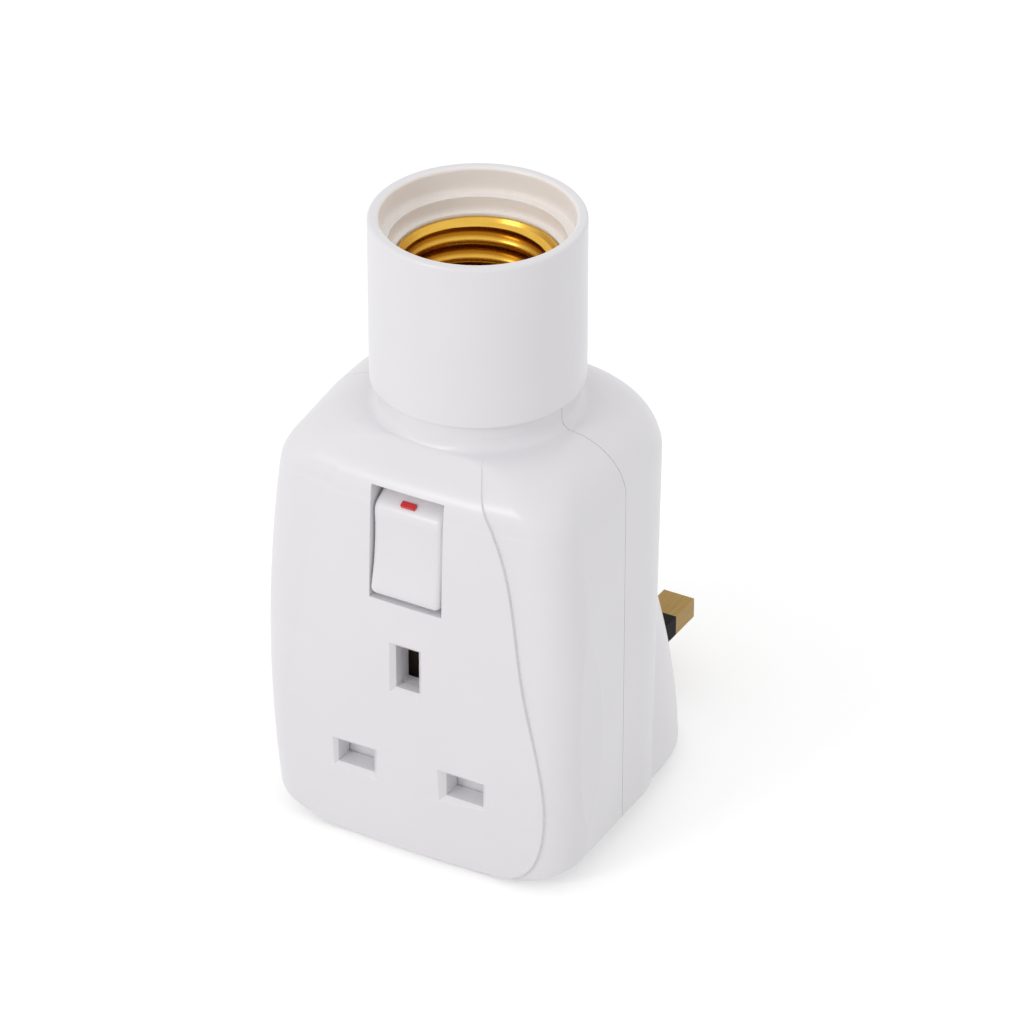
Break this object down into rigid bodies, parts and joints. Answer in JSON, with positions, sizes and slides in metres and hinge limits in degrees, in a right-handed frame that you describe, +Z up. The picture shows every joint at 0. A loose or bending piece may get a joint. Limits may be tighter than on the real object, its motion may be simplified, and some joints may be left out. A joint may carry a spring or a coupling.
{
  "type": "plug-in lamp socket",
  "caption": "White plug-in lamp holder: a screw socket in a round sleeve on a bowed case, with a shuttered outlet and rocker switch in front and plug pins at the back.",
  "frame": {"origin": "on the floor under the axis of the lamp sleeve", "axes": "+Z up along the lamp sleeve, -Y out of the outlet's face, +Y along the plug pins, +X to the right seen from the front"},
  "size_m": [0.063, 0.0878, 0.1187],
  "materials": {
    "white_plastic": "satin",
    "red_plastic": "matte",
    "grey_plastic": "matte",
    "black_plastic": "matte",
    "brass": "satin",
    "steel": "satin"
  },
  "bodies": {
    "case": {"carrier_screws": "steel", "case_screws": "steel", "centre_contact": "brass", "contact_carrier": "grey_plastic", "earth_contact": "brass", "earth_pin": "brass", "earth_strap": "brass", "fixed_contact": "brass", "front_shell": "white_plastic", "lamp_base": "grey_plastic", "lamp_rivets": "brass", "lamp_sleeve": "white_plastic", "line_contact": "brass", "line_pin": "brass", "line_pin_sleeve": "black_plastic", "line_strap": "brass", "neutral_contact": "brass", "neutral_pin": "brass", "neutral_pin_sleeve": "black_plastic", "neutral_strap": "brass", "rear_shell": "white_plastic", "screw_shell": "brass", "seesaw_bracket": "brass", "shell_terminal": "brass", "shutter_spring": "steel", "switch_base": "grey_plastic"},
    "rocker": {"rocker": "white_plastic", "rocker_mark": "red_plastic", "plunger_spring": "steel"},
    "plunger": {"switch_plunger": "grey_plastic"},
    "seesaw": {"seesaw_contact": "brass"},
    "shutter": {"shutter": "white_plastic"}
  },
  "joints": [
    {"name": "rocker_hinge", "type": "hinge", "parent": "case", "child": "rocker", "pos_m": [0, -0.016, 0.06445], "axis": [1, 0, 0], "range_deg": [-20, 0]},
    {"name": "plunger_slide", "type": "slide", "parent": "rocker", "child": "plunger", "axis": [0, -0.9848, -0.1736], "range_m": [0, 0.0008], "stiffness_N_per_m": 300, "springref_m": -0.002, "deforming": ["plunger_spring"]},
    {"name": "seesaw_hinge", "type": "hinge", "parent": "case", "child": "seesaw", "pos_m": [0, -0.0074, 0.06445], "axis": [1, 0, 0], "range_deg": [0, 16]},
    {"name": "shutter_slide", "type": "slide", "parent": "case", "child": "shutter", "axis": [0, 0, 1], "range_m": [0, 0.0073], "stiffness_N_per_m": 60, "springref_m": -0.004, "deforming": ["shutter_spring"]}
  ],
  "couplings": [
    {"joint": "seesaw_hinge", "follows": "rocker_hinge", "ratio": -0.8}
  ]
}
